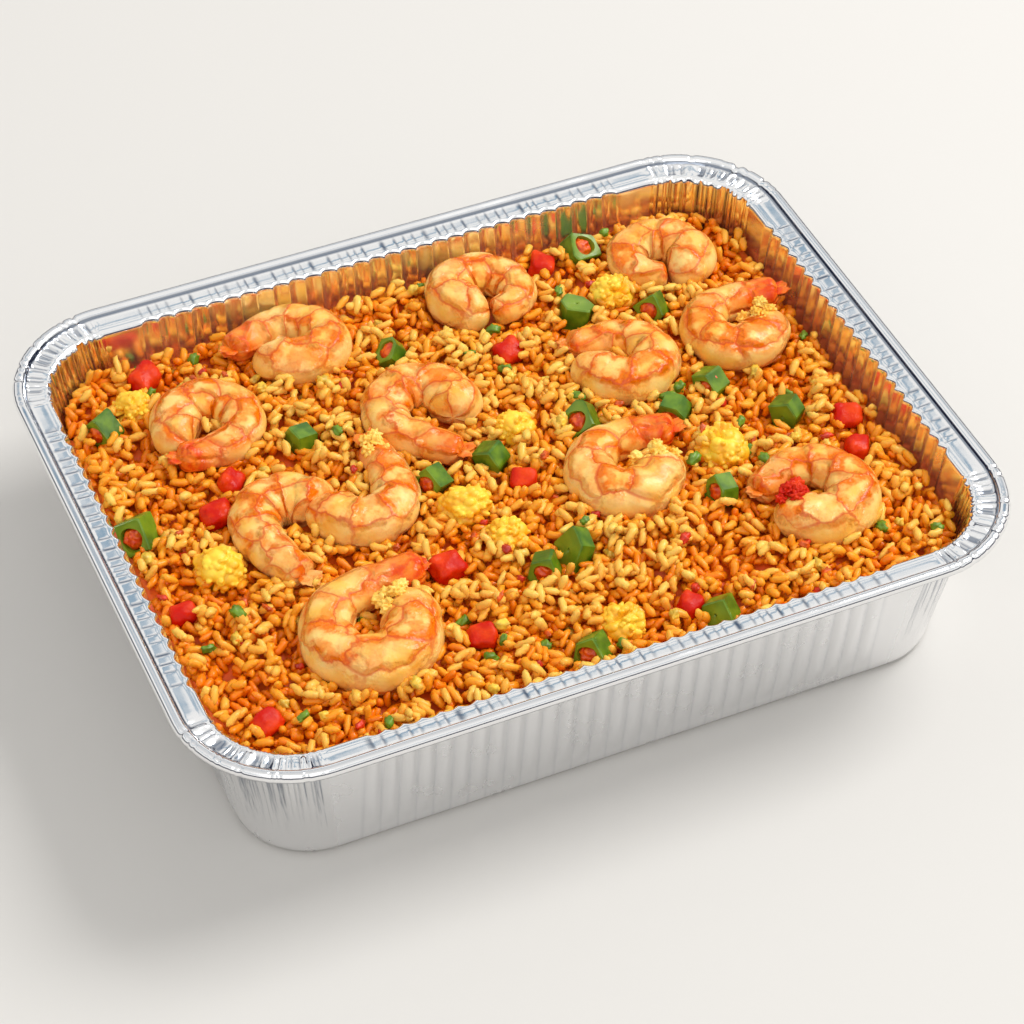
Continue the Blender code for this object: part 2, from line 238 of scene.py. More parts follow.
def corner_folds(seed, wavelength):
    """Sharp irregular folds across the corners, 0 on the straight sides."""
    line = np.stack([SIDE * 300.0 + PLACE * 50.0, np.full(len(PLACE), seed)], axis=1)
    folds = 1 - 2 * np.abs(wavy(line, seed, wavelength))
    fade = np.clip(np.minimum(PLACE, 1 - PLACE) * 14, 0, 1)
    return np.where(IN_CORNER, folds * fade, 0.0)


FOLD_A, FOLD_B, FOLD_C = corner_folds(1.5, 2.2), corner_folds(6.5, 1.4), corner_folds(9.5, 2.8)
rib_line = np.stack([PLACE, SIDE * 40.0], axis=1)
rib_phase = PLACE / 4.6 + 0.55 * wavy(rib_line, 3.3, 9.0)
RIB = np.where(IN_FLUTES, np.exp(-((rib_phase - np.round(rib_phase)) / 0.11) ** 2), 0.0)
RIB = RIB * (0.35 + 0.65 * rng.random(4000)[(np.round(rib_phase).astype(int) + 700 * SIDE) % 4000])
PLEAT = np.clip(np.maximum(FOLD_A, FOLD_C) * 2.2 - 1.2, 0, 1)


def tray_ring(half, corner, z, out=0.0):
    """Points round the tray at one level, pushed outwards by out."""
    turn = SIDE * math.pi / 2
    swap = SIDE % 2 == 1
    along = np.where(swap, half[1], half[0])
    across = np.where(swap, half[0], half[1])
    reach = np.where(swap, FLUTED_HALF[1], FLUTED_HALF[0])
    plain = along - corner - reach
    run = np.where(KIND == "end", np.where(PLACE < 0, -reach + PLACE * plain, reach + PLACE * plain), PLACE)
    angle = np.where(IN_CORNER, (PLACE - 1) * math.pi / 2, -math.pi / 2)
    normal = np.stack([np.cos(angle), np.sin(angle)], axis=1)
    u = np.where(IN_CORNER, along - corner + corner * normal[:, 0], run) + normal[:, 0] * out * IN_CORNER
    v = np.where(IN_CORNER, corner - across + corner * normal[:, 1], -across)
    v = v + normal[:, 1] * out
    x = u * np.cos(turn) - v * np.sin(turn)
    y = u * np.sin(turn) + v * np.cos(turn)
    return np.stack([x, y, np.zeros(len(x)) + z], axis=1)


MOUTH_HALF = TRAY_HALF - RIM_WIDTH


def wall_ring(z, lining):
    """One level of the wall: flutes on the sides, gathered pleats in the corners."""
    share = (z - EDGE_RADIUS) / (WALL_TOP - EDGE_RADIUS)
    grown = np.clip((z - 7) / 9, 0, 1)
    crush = wavy(np.stack([SIDE * 30 + PLACE * 9 * IN_CORNER, np.full(len(PLACE), z / 7)], axis=1), 2.2, 1.0)
    gather = 0.5 * FOLD_A + 0.35 * FOLD_B * (1 + crush)
    out = FLUTE_DEPTH * FLUTE * grown - gather * grown * (0.4 + 0.6 * share)
    half = BASE_HALF + (MOUTH_HALF - BASE_HALF) * share - lining
    return tray_ring(half, BASE_CORNER + (MOUTH_CORNER - BASE_CORNER) * share - lining, z, out)


def edge_rings(lining):
    """The rounded edge from the flat floor up to the wall."""
    rings = []
    for degrees in (0, 18, 36, 54, 72):
        angle = math.radians(degrees)
        inset = EDGE_RADIUS - (EDGE_RADIUS - lining) * math.sin(angle)
        z = EDGE_RADIUS - (EDGE_RADIUS - lining) * math.cos(angle)
        rings.append(tray_ring(BASE_HALF - inset, BASE_CORNER - inset, z))
    return rings


# The rim's section: distance out from the wall's top, depth below the rim's top
RIM_TOP_SIDE = [(0.15, 3.2), (0.5, 2.9), (1.0, 2.75), (1.8, 2.7), (2.6, 2.72), (3.0, 2.6), (3.5, 2.68),
                (5.2, 2.56), (6.8, 2.45), (8.0, 2.35), (8.6, 2.1), (9.0, 1.4), (9.4, 0.7), (9.9, 0.3),
                (10.6, 0.05), (11.5, 0.0), (12.4, 0.25), (13.1, 0.9), (13.45, 1.8), (13.5, 2.6),
                (13.2, 3.4), (12.6, 3.9), (11.8, 4.1), (11.1, 3.9), (10.8, 3.4)]
RIM_UNDERSIDE = [(9.6, 0.9), (8.7, 2.6), (6.0, 2.65), (3.2, 2.65), (1.4, 2.8)]
BEAD_START = 8.8


def rim_ring(out, down, under=0.0):
    """One line round the rim: ribs across its flat band, pleats and crushed bead in corners."""
    flat = max(0.0, 1 - abs(out - 5.0) / 3.6)
    flute_left = max(0.0, 1 - out / 3.0)
    lift = -0.12 * RIB * min(1.0, flat * 1.6) - (0.5 * FOLD_C + 0.45 * FOLD_A) * min(1.0, 2 * flat)
    on_bead = out > BEAD_START
    push = FLUTE_DEPTH * FLUTE * flute_left + (0.35 * FOLD_A + 0.25 * FOLD_C) * on_bead
    push = push + 0.25 * FOLD_B * (out < 2)
    sway = 0.22 * FOLD_C * on_bead
    dent = 0.6 * IN_CORNER * on_bead * np.clip(-FOLD_A, 0, 1) * 0.6
    z = TRAY_TOP - dent - down - under + lift + np.minimum(sway, 0)
    if on_bead:
        push = np.minimum(push, 0.0)
    return tray_ring(MOUTH_HALF + out, MOUTH_CORNER + out, z, push)


wall_levels = [6, 7, 8.5, 10.5, 13, 16, 20, 25, 30, 35, 40, 45, 50, 55, 59, 62, 64.5, WALL_TOP]
rings = edge_rings(FOIL) + [wall_ring(z, FOIL) for z in wall_levels]
rings += [rim_ring(out, down) for out, down in RIM_TOP_SIDE]
rings += [rim_ring(out, down, FOIL) for out, down in RIM_UNDERSIDE]
rings += [wall_ring(z, 0.0) for z in [WALL_TOP - 0.6] + wall_levels[-2::-1]] + edge_rings(0.0)[::-1]


def numpy_mesh(name, points, faces, smooth=True):
    """A mesh object from points in millimetres and a list of faces."""
    mesh = bpy.data.meshes.new(name)
    mesh.from_pydata((np.asarray(points) * MM).tolist(), [], faces)
    mesh.validate()
    made = bpy.data.objects.new(name, mesh)
    scene.collection.objects.link(made)
    if smooth:
        mesh.shade_smooth()
    return made


def tube_faces(ring_count, ring_size, first=0):
    """Quads between closed rings of points."""
    faces = []
    for row in range(ring_count - 1):
        a = first + row * ring_size
        b = a + ring_size
        faces += [(a + i, a + (i + 1) % ring_size, b + (i + 1) % ring_size, b + i) for i in range(ring_size)]
    return faces


def face_outwards(thing):
    """Recalculates the normals of a closed mesh so that they point out."""
    bm = bmesh.new()
    bm.from_mesh(thing.data)
    bmesh.ops.recalc_face_normals(bm, faces=bm.faces)
    bm.to_mesh(thing.data)
    bm.free()


def float_attribute(mesh, name, values):
    """Stores one number on each vertex for the material to read."""
    layer = mesh.attributes.new(name, "FLOAT", "POINT")
    layer.data.foreach_set("value", np.asarray(values, dtype=np.float32))


size = len(stations)
caps = [tuple(range(size))[::-1], tuple((len(rings) - 1) * size + i for i in range(size))]
tray = numpy_mesh("tray_foil", np.concatenate(rings), tube_faces(len(rings), size) + caps)
face_outwards(tray)
# Painted shade: crease_shade darkens the foil's colour towards blue-grey in the corner pleats, the flute
# valleys, the ribs across the ledge and the lines along the bead.
satin, crease_shade = [], []
inner_rings = 5 + len(wall_levels)
for step, ring in enumerate(rings):
    wall = float(np.median(ring[:, 2]) < WALL_TOP - 0.3)
    level = ring[:, 2].mean()
    satin.append(np.full(size, wall * (0.45 if step < inner_rings else 0.9)) * np.where(IN_CORNER, 0.5, 1.0))
    cut = PLEAT * np.clip((level - 12 - 25 * flute_strength * rng.random(size)) / 20, 0, 1)
    crease_shade.append(wall * (0.75 * cut + 0.24 * np.clip(0.4 - FLUTE, 0, 1) * IN_FLUTES))
for step, (out, down) in enumerate(RIM_TOP_SIDE):
    on_ledge = min(1.0, max(0.0, 1 - abs(out - 5.0) / 3.6) * 2.0)
    # painted shade lines at the bead's step, along its top and under its rolled edge
    bead_line_shade = 0.75 * (8.5 < out < 9.1) + 0.30 * (11.4 < out < 11.6) + 0.5 * (down > 3.2 and out > 12)
    crease_shade[inner_rings + step] = np.maximum(on_ledge * np.maximum(RIB, 0.8 * PLEAT), bead_line_shade)
float_attribute(tray.data, "satin", np.concatenate(satin))
float_attribute(tray.data, "crease_shade", np.concatenate(crease_shade))
float_attribute(tray.data, "oiled", np.repeat(np.arange(len(rings)) < inner_rings - 1, size))
foil_look, tree, shader = new_material("pressed_foil")
shader.inputs["Metallic"].default_value = 1.0
crease_shade = add_node(tree, "Attribute", attribute_name="crease_shade").outputs["Fac"]
satin = add_node(tree, "Attribute", attribute_name="satin").outputs["Fac"]
oiled = add_node(tree, "Attribute", attribute_name="oiled").outputs["Fac"]
colour = mix_colour(tree, oiled, (0.88, 0.88, 0.885), (0.97, 0.91, 0.70))
# the foil's colour, darkened to blue-grey where painted shade lies in creases and grooves
tree.links.new(mix_colour(tree, crease_shade, colour, (0.07, 0.11, 0.18)), shader.inputs["Base Color"])
rolling = between(tree, noise_value(tree, 60.0, 4.0), 0.3, 0.75, 0.08, 0.20)
tree.links.new(calc(tree, "ADD", rolling, calc(tree, "MULTIPLY", satin, 0.20)), shader.inputs["Roughness"])
tree.links.new(calc(tree, "SUBTRACT", 1.0, calc(tree, "MULTIPLY", satin, 0.12)), shader.inputs["Metallic"])
bump(tree, shader, noise_value(tree, 300.0, 2.0), 0.0001, 0.2)
tray.data.materials.append(foil_look)
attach(tray, "root")
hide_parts("foil_tray")

# ------------------------------------------------------------------ shrimps
# Peeled cooked shrimps, curled and lying on their sides. The flesh swells between the
# joints of its segments, and the last segment keeps its shell tip and small fins.
SHRIMP_FLATNESS = 0.87
SEGMENTS = 7
DEPTH_AXIS = 66.0
# ring radius, squash across the depth axis, head angle, turn, inward head, tail length,
# tail bend, tail rise, redness of the tail, spread of the tail's fins (0 for none), half width
SHRIMP_CURLS = [
    (13.9, 1.00, 222, -308, 0.80, 18, -6, 2.5, 1.0, 0.5, 9.6),
    (14.2, 0.86, 178, 292, 0.70, 20, 24, 2.5, 0.8, 0.5, 9.8),
    (14.2, 0.84, 262, -338, 0.79, 5, -14, 0.0, 0.1, 0.0, 9.9),
    (13.8, 0.82, 261, 335, 0.79, 5, 12, 0.0, 0.1, 0.0, 9.7),
    (13.8, 1.00, 4, -268, 0.68, 25, -30, 2.5, 1.0, 0.5, 9.8),
    (13.9, 0.97, 150, 304, 0.74, 15, -12, 2.0, 0.5, 0.3, 9.8),
    (15.2, 1.00, -42, 264, 0.76, 23, 8, 0.0, 0.5, 0.9, 10.0),
    (13.4, 1.00, 164, 186, 0.95, 27, 22, 1.0, 0.6, 1.1, 9.9),
    (14.4, 1.00, 8, 184, 0.80, 26, 16, 0.0, 0.2, 1.0, 10.2),
    (14.8, 1.05, 2, -268, 0.66, 26, -34, 2.5, 1.0, 0.5, 10.3),
    (16.2, 1.05, 176, 296, 0.50, 14, 6, 0.5, 0.4, 0.3, 10.0),
    (17.0, 1.08, 42, -302, 0.72, 31, -22, 2.5, 1.0, 0.4, 10.9),
]
BODY_RINGS = 110
BODY_SIDES = 32


def curl_path(curl, count):
    """Centre line of a curled shrimp in millimetres, evenly spaced from head to tail."""
    radius, squash, head, turn, inward, tail, bend, rise = curl[:8]
    depth = math.radians(DEPTH_AXIS)
    share = np.linspace(0, 1, 61)
    angle = np.radians(head + turn * share) - depth
    reach = radius * (inward + (1 - inward) * np.minimum(1, share * 1.8))
    across, beside = reach * np.cos(angle) * squash, reach * np.sin(angle)
    line = np.stack([across * math.cos(depth) - beside * math.sin(depth),
                     across * math.sin(depth) + beside * math.cos(depth), 0 * share], axis=1)
    step = line[-1] - line[-2]
    heading = math.atan2(step[1], step[0]) + np.radians(bend * np.arange(1, 21) / 20)
    run = np.cumsum(np.stack([np.cos(heading), np.sin(heading)], axis=1), axis=0) * tail / 20
    end = np.column_stack([line[-1, :2] + run, rise * (np.arange(1, 21) / 20) ** 2])
    line = np.concatenate([line, end])
    length = np.concatenate([[0], np.cumsum(np.linalg.norm(np.diff(line, axis=0), axis=1))])
    even = np.linspace(0, length[-1], count)
    return np.stack([np.interp(even, length, line[:, k]) for k in range(3)], axis=1)


def girth(share):
    """Body width along the shrimp: blunt head end, full middle, slim tail."""
    blunt = np.sqrt(np.clip(1 - (1 - np.minimum(1, share / 0.10)) ** 2, 0, 1))
    taper = 1 - 0.42 * np.clip((share - 0.35) / 0.65, 0, 1) ** 1.3
    end = np.sqrt(np.clip(1 - np.clip((share - 0.965) / 0.035, 0, 1) ** 2, 0, 1))
    return blunt * taper * end


def segment_wave(around):
    """How far the edge of a segment swings along the body at each angle round it."""
    return 0.17 * np.cos(2 * around) + 0.07 * np.cos(5 * around + 1.0)


def add_uv(mesh, rows, sides, first):
    """UV on swept quads: U counts segments along the body, V goes once round from below."""
    layer = mesh.uv_layers.new(name="body")
    for face in mesh.polygons:
        row, column = divmod(face.index, sides)
        for loop in face.loop_indices:
            vertex = mesh.loops[loop].vertex_index
            r, c = divmod(vertex, sides)
            wrapped = sides if (column == sides - 1 and c == 0) else c
            layer.data[loop].uv = (first + SEGMENTS * r / (rows - 1), wrapped / sides)


def shrimp_body(name, curl, centre, seed):
    """The curled body with its swollen segments, placed by its box's centre."""
    path = curl_path(curl, BODY_RINGS)
    share = np.linspace(0, 1, BODY_RINGS)
    ahead = np.gradient(path, axis=0)
    ahead /= np.linalg.norm(ahead, axis=1)[:, None]
    outward = np.cross(ahead, (0, 0, 1)) * math.copysign(1, curl[3])
    outward /= np.linalg.norm(outward, axis=1)[:, None]
    up = np.cross(outward, ahead) * math.copysign(1, curl[3])
    up *= np.sign(up[:, 2:3])
    around = 2 * math.pi * np.arange(BODY_SIDES) / BODY_SIDES - math.pi / 2
    phase = SEGMENTS * share[:, None] + segment_wave(around)[None, :]
    part = phase - np.floor(phase)
    swell = 0.075 * np.sin(math.pi * part) ** 0.6 + 0.045 * part * np.clip((1 - part) / 0.08, 0, 1)
    lumps = np.array([[noise.noise(Vector((r * 9.0 + seed, math.cos(a) * 1.3, math.sin(a) * 1.3)))
                       for a in around] for r in share])
    width = curl[10] * girth(share)[:, None] * (0.97 + swell * 1.1) * (1 + 0.05 * lumps)
    points = (path[:, None, :] + outward[:, None, :] * (width * np.cos(around))[..., None]
              + up[:, None, :] * (SHRIMP_FLATNESS * width * np.sin(around))[..., None])
    points = points.reshape(-1, 3)
    middle = (points.max(axis=0) + points.min(axis=0)) / 2
    faces = tube_faces(BODY_RINGS, BODY_SIDES)
    made = numpy_mesh(name, points - middle + centre, faces)
    add_uv(made.data, BODY_RINGS, BODY_SIDES, 40 * round(seed))
    tail = np.clip((share - 0.74) / 0.2, 0, 1) * curl[8]
    float_attribute(made.data, "tail", np.repeat(tail, BODY_SIDES))
    return made, path - middle + centre, ahead, outward


shrimp_look, tree, shader = new_material("cooked_shrimp")
uv = add_node(tree, "UVMap", uv_map="body").outputs["UV"]
split = add_node(tree, "SeparateXYZ", {0: uv})
angle = calc(tree, "SUBTRACT", calc(tree, "MULTIPLY", split.outputs["Y"], 2 * math.pi), math.pi / 2)
warp = calc(tree, "MULTIPLY", calc(tree, "SUBTRACT", noise_value(tree, 160.0, 3.0), 0.5), 0.55)
plate_x = calc(tree, "ADD", split.outputs["X"], warp)
plate_y = calc(tree, "ADD", calc(tree, "MULTIPLY", split.outputs["Y"], 5.0), warp)
plate_at = add_node(tree, "CombineXYZ", {0: plate_x, 1: plate_y}).outputs[0]
rim_of = add_node(tree, "TexVoronoi", {"Vector": plate_at, "Scale": 1.0, "Randomness": 0.62},
                  voronoi_dimensions="2D", feature="DISTANCE_TO_EDGE").outputs["Distance"]
cell = add_node(tree, "TexVoronoi", {"Vector": plate_at, "Scale": 1.0, "Randomness": 0.62},
                voronoi_dimensions="2D", feature="F1").outputs["Color"]
chance = add_node(tree, "SeparateXYZ", {0: cell}).outputs["X"]
edge = between(tree, rim_of, 0.065, 0.01)
# the veil of orange lies on the upper and inner side, and the back and belly stay pale
upper = between(tree, calc(tree, "COSINE", calc(tree, "SUBTRACT", angle, 1.75)), -0.05, 0.75)
patchy = between(tree, noise_value(tree, 150.0, 3.0), 0.43, 0.58)
near_rim = between(tree, rim_of, 0.36, 0.02)
veil = calc(tree, "ADD", calc(tree, "MULTIPLY", patchy, 0.55), calc(tree, "MULTIPLY", near_rim, 0.50))
veil = calc(tree, "MULTIPLY", veil, calc(tree, "ADD", calc(tree, "MULTIPLY", chance, 1.1), 0.45))
veil = calc(tree, "MULTIPLY", veil, calc(tree, "ADD", calc(tree, "MULTIPLY", upper, 0.86), 0.12))
veil = calc(tree, "MINIMUM", veil, 1.0)
tail_red = add_node(tree, "Attribute", attribute_name="tail").outputs["Fac"]
speckle = between(tree, noise_value(tree, 900.0, 2.0), 0.45, 0.7)
pale = between(tree, noise_value(tree, 90.0), 0.3, 0.7)
colour = mix_colour(tree, pale, srgb(247, 208, 124), srgb(245, 186, 78))
colour = mix_colour(tree, veil, colour, srgb(238, 120, 2))
colour = mix_colour(tree, calc(tree, "MULTIPLY", calc(tree, "MULTIPLY", veil, speckle), 0.45), colour,
                    srgb(222, 88, 4))
seams = calc(tree, "MULTIPLY", edge, calc(tree, "ADD", calc(tree, "MULTIPLY", upper, 0.35), 0.30))
colour = mix_colour(tree, seams, colour, srgb(198, 58, 0))
streaks = between(tree, noise_value(tree, 240.0, 3.0), 0.35, 0.65)
tail_colour = mix_colour(tree, streaks, srgb(222, 66, 4), srgb(242, 124, 28))
colour = mix_colour(tree, tail_red, colour, tail_colour)
tree.links.new(colour, shader.inputs["Base Color"])
wetness = between(tree, noise_value(tree, 120.0, 2.0), 0.35, 0.7, 0.20, 0.36)
tree.links.new(wetness, shader.inputs["Roughness"])
shader.inputs["Specular IOR Level"].default_value = 0.28
shader.inputs["Subsurface Weight"].default_value = 0.15
shader.inputs["Subsurface Radius"].default_value = (1.0, 0.6, 0.2)
shader.inputs["Subsurface Scale"].default_value = 0.002
grainy = calc(tree, "MULTIPLY", noise_value(tree, 500.0, 3.0), 0.35)
domes = calc(tree, "ADD", between(tree, rim_of, 0.0, 0.22), grainy)
bump(tree, shader, domes, 0.0009, 0.9)


def tail_fin(name, tip, heading, spread, redness, number):
    """One flat pointed tail fin, cupped a little, made from a squashed sphere."""
    bpy.ops.mesh.primitive_uv_sphere_add(segments=14, ring_count=8, radius=1.0)
    fin = bpy.context.object
    fin.name = name
    length, width = 6.0 + 2.0 * spread, 3.0
    for vertex in fin.data.vertices:
        x, y, z = vertex.co
        flare = 0.75 + 0.35 * (x + 1) / 2
        ragged = 1 + 0.14 * math.sin(9 * y + number) * max(x, 0)
        cupped = z * 1.1 * (1.2 - 0.55 * (x + 1) / 2) + 0.3 * y * y
        vertex.co = (x * length * ragged, y * width * flare, cupped)
    turn = Matrix.Rotation(math.atan2(heading[1], heading[0]) + (0.24 + spread * 0.3) * (number - 1), 4, "Z")
    lift = Matrix.Rotation(-0.30 + 0.22 * (number % 2), 4, "Y")
    place = Matrix.Translation(Vector(tip) + Vector(heading) * length * 0.55)
    fin.data.transform(Matrix.Scale(MM, 4) @ place @ turn @ lift)
    fin.data.shade_smooth()
    layer = fin.data.uv_layers.active
    layer.name = "body"
    for item in layer.data:
        item.uv = (5.4 + 0.3 * item.uv[1], 0.45)
    float_attribute(fin.data, "tail", np.full(len(fin.data.vertices), redness))
    return fin


def join(things, name):
    """Joins objects into the first and names it."""
    bpy.ops.object.select_all(action="DESELECT")
    for thing in things:
        thing.select_set(True)
    bpy.context.view_layer.objects.active = things[0]
    if len(things) > 1:
        bpy.ops.object.join()
    made = bpy.context.object
    made.name = name
    bpy.ops.object.select_all(action="DESELECT")
    return made


obstacles = []
shrimp_ends = []
for number, curl in enumerate(SHRIMP_CURLS, 1):
    low, high = (np.array(corner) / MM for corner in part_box(f"shrimp_{number}"))
    body, path, ahead, outward = shrimp_body(f"shrimp_body_{number}", curl, (low + high) / 2, number * 3.7)
    things = [body]
    if curl[9] > 0:
        for fin_number in range(3):
            fin_name = f"fin_{number}_{fin_number}"
            things.append(tail_fin(fin_name, path[-9], ahead[-10], curl[9], curl[8], fin_number))
    shrimp = join(things, f"shrimp_body_{number}")
    shrimp.data.materials.clear()
    shrimp.data.materials.append(shrimp_look)
    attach(shrimp, "root")
    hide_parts(f"shrimp_{number}")
    shrimp_ends.append((Vector(path[4]), Vector(path[-6])))
    radii = curl[10] * girth(np.linspace(0, 1, BODY_RINGS))
    obstacles += [(*path[i], radii[i]) for i in range(1, BODY_RINGS, 4)]

# ------------------------------------------------------------------ green slices
# Chunky slices of a hollow green stalk with thick ribbed walls, some stuffed with red crumbs.
GREEN_COUNT = 18
green_look, tree, shader = new_material("green_stalk")
inner = add_node(tree, "Attribute", attribute_name="inner").outputs["Fac"]
skin = between(tree, noise_value(tree, 140.0, 3.0), 0.35, 0.7)
colour = mix_colour(tree, skin, srgb(56, 98, 8), srgb(108, 142, 24))
colour = mix_colour(tree, calc(tree, "MULTIPLY", inner, 0.75), colour, srgb(128, 156, 36))
tree.links.new(colour, shader.inputs["Base Color"])
shader.inputs["Roughness"].default_value = 0.30
bump(tree, shader, noise_value(tree, 330.0, 3.0), 0.0003, 0.5)
stuffing_look, tree, shader = new_material("red_stuffing")
crumbs = between(tree, noise_value(tree, 420.0, 3.0), 0.35, 0.65)
colour = mix_colour(tree, crumbs, srgb(204, 56, 4), srgb(236, 104, 16))
tree.links.new(colour, shader.inputs["Base Color"])
shader.inputs["Roughness"].default_value = 0.35
bump(tree, shader, noise_value(tree, 600.0, 3.0), 0.0004, 0.6)


def solid_of(thing):
    """The middle of the box round a CAD node, and the node's points, in millimetres."""
    points = np.array([v.co for v in thing.data.vertices]) / MM
    low, high = points.min(axis=0), points.max(axis=0)
    return (low + high) / 2, points


def lumpy_ball(name, subdivisions, radius, squash, rough, seed, scale):
    """A sphere pushed in and out by noise, at the origin in millimetres."""
    bpy.ops.mesh.primitive_ico_sphere_add(subdivisions=subdivisions, radius=1.0)
    ball = bpy.context.object
    ball.name = name
    for vertex in ball.data.vertices:
        swell = 1 + rough * noise.noise(vertex.co * scale + Vector((seed, 0, 0)))
        x, y, z = vertex.co
        vertex.co = Vector((x * squash[0], y * squash[1], z * squash[2])) * radius * swell
    ball.data.shade_smooth()
    return ball


for number in range(1, GREEN_COUNT + 1):
    rnd = random.Random(number)
    centre, points = solid_of(nodes[f"green_{number}"])
    # the slice's axis is the direction in which its two end rings part
    ends = points - centre
    axis = Vector(np.linalg.svd(ends[:7] - ends[:7].mean(axis=0))[2][2])
    radius = 6.1 * (0.85 + 0.3 * rnd.random())
    half = 4.4 * (0.8 + 0.4 * rnd.random())
    sides = rnd.choice((4, 5, 5, 6))
    solid = number % 3 == 0
    bore, sunk = (0.08, 0.9) if solid else (0.60, 0.55)
    rows = [(-half, 0.94), (-half * 0.9, 1.03), (half * 0.9, 1.05), (half, 0.96), (half * 0.97, bore + 0.08),
            (half * sunk, bore), (-half * sunk, bore), (-half * 0.97, bore + 0.08)]
    around = 2 * math.pi * np.arange(sides * 8) / (sides * 8)
    facets = [(2 * math.pi * k / sides + rnd.uniform(-0.28, 0.28), rnd.uniform(0.82, 1.02))
              for k in range(sides)]
    facing = np.maximum([np.cos(around - turn) / away for turn, away in facets], 0.1)
    ridge = np.minimum(1 / facing.max(axis=0), 1.28)
    shell = []
    for z, share in rows:
        cut = z + 0.5 * np.cos(around + rnd.random()) * (abs(z) > half * 0.5)
        ring = radius * share * (ridge if share > 0.75 else 1 + 0.06 * np.cos(3 * around))
        shell.append(np.stack([ring * np.cos(around), ring * np.sin(around), cut], axis=1))
    shell.append(shell[0])
    faces = tube_faces(len(rows), len(around))
    last = (len(rows) - 1) * len(around)
    faces += [(last + i, last + (i + 1) % len(around), (i + 1) % len(around), i) for i in range(len(around))]
    slice_ = numpy_mesh(f"green_slice_{number}", np.concatenate(shell[:-1]), faces)
    float_attribute(slice_.data, "inner", np.repeat([0, 0, 0, 0.5, 1, 1, 1, 1], len(around)))
    if axis.dot(TO_CAMERA) < 0:
        axis = -axis
    axis = (axis + 0.55 * TO_CAMERA).normalized()
    lean = Vector((0, 0, 1)).rotation_difference(axis).to_matrix().to_4x4()
    place = Matrix.Translation(Vector(centre) * MM) @ lean
    slice_.data.transform(place)
    face_outwards(slice_)
    slice_.data.set_sharp_from_angle(angle=0.45)
    slice_.data.materials.append(green_look)
    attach(slice_, "root")
    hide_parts(f"green_{number}")
    obstacles.append((*centre, radius))
    if not solid:
        plug = lumpy_ball(f"stuffing_{number}", 4, 4.7, (1, 1, 0.23 * half), 0.22, number * 2.1, 3.4)
        plug.data.transform(place @ Matrix.Scale(MM, 4))
        plug.data.materials.append(stuffing_look)
        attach(plug, "root")

# ------------------------------------------------------------------ red pepper dice
# Wet dice of red pepper or tomato with rounded torn corners.
RED_COUNT = 13
red_look, tree, shader = new_material("red_dice")
flesh = between(tree, noise_value(tree, 130.0, 3.0), 0.35, 0.7)
colour = mix_colour(tree, flesh, srgb(196, 20, 2), srgb(228, 66, 12))
tree.links.new(colour, shader.inputs["Base Color"])
tree.links.new(between(tree, noise_value(tree, 200.0, 2.0), 0.35, 0.7, 0.28, 0.5), shader.inputs["Roughness"])
shader.inputs["Specular IOR Level"].default_value = 0.16
shader.inputs["Subsurface Weight"].default_value = 0.1
shader.inputs["Subsurface Radius"].default_value = (1.0, 0.2, 0.1)
shader.inputs["Subsurface Scale"].default_value = 0.001
bump(tree, shader, noise_value(tree, 420.0, 3.0), 0.0006, 0.8)
for number in range(1, RED_COUNT + 1):
    source = nodes[f"red_{number}"]
    centre, _ = solid_of(source)
    dice = source.copy()
    dice.data = source.data.copy()
    dice.name = f"red_dice_{number}"
    dice.parent = None
    dice.matrix_world = Matrix.Identity(4)
    scene.collection.objects.link(dice)
    bpy.ops.object.select_all(action="DESELECT")
    dice.select_set(True)
    bpy.context.view_layer.objects.active = dice
    weld = dice.modifiers.new("weld", "WELD")
    weld.merge_threshold = 0.00005
    bpy.ops.object.modifier_apply(modifier="weld")
    bpy.ops.object.mode_set(mode="EDIT")
    bpy.ops.mesh.select_all(action="SELECT")
    bpy.ops.mesh.tris_convert_to_quads(face_threshold=0.7, shape_threshold=0.7)
    bpy.ops.mesh.subdivide(number_cuts=1)
    bpy.ops.object.mode_set(mode="OBJECT")
    smooth = dice.modifiers.new("round", "SUBSURF")
    smooth.levels = smooth.render_levels = 2
    bpy.ops.object.modifier_apply(modifier="round")
    for vertex in dice.data.vertices:
        away = vertex.co - Vector(centre) * MM
        torn = noise.noise(away * 230 + Vector((number, 0, 0))) + 0.4 * noise.noise(away * 700)
        vertex.co += away * (0.06 + 0.24 * torn)
    dice.data.shade_smooth()
    dice.data.materials.clear()
    dice.data.materials.append(red_look)
    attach(dice, "root")
    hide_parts(f"red_{number}")
    obstacles.append((*centre, 5.4))

# ------------------------------------------------------------------ scrambled egg
# Soft curds of scrambled egg: lumps on lumps, like small cauliflower heads.
EGG_COUNT = 8


def egg_material(name, dark, light):
    """Moist egg, darker in places."""
    look, tree, shader = new_material(name)
    tree.links.new(mix_colour(tree, between(tree, noise_value(tree, 160.0, 3.0), 0.35, 0.68), dark, light),
                   shader.inputs["Base Color"])
    shader.inputs["Roughness"].default_value = 0.45
    shader.inputs["Subsurface Weight"].default_value = 0.15
    shader.inputs["Subsurface Radius"].default_value = (1.0, 0.7, 0.2)
    shader.inputs["Subsurface Scale"].default_value = 0.002
    bump(tree, shader, noise_value(tree, 480.0, 3.0), 0.0003, 0.5)
    return look


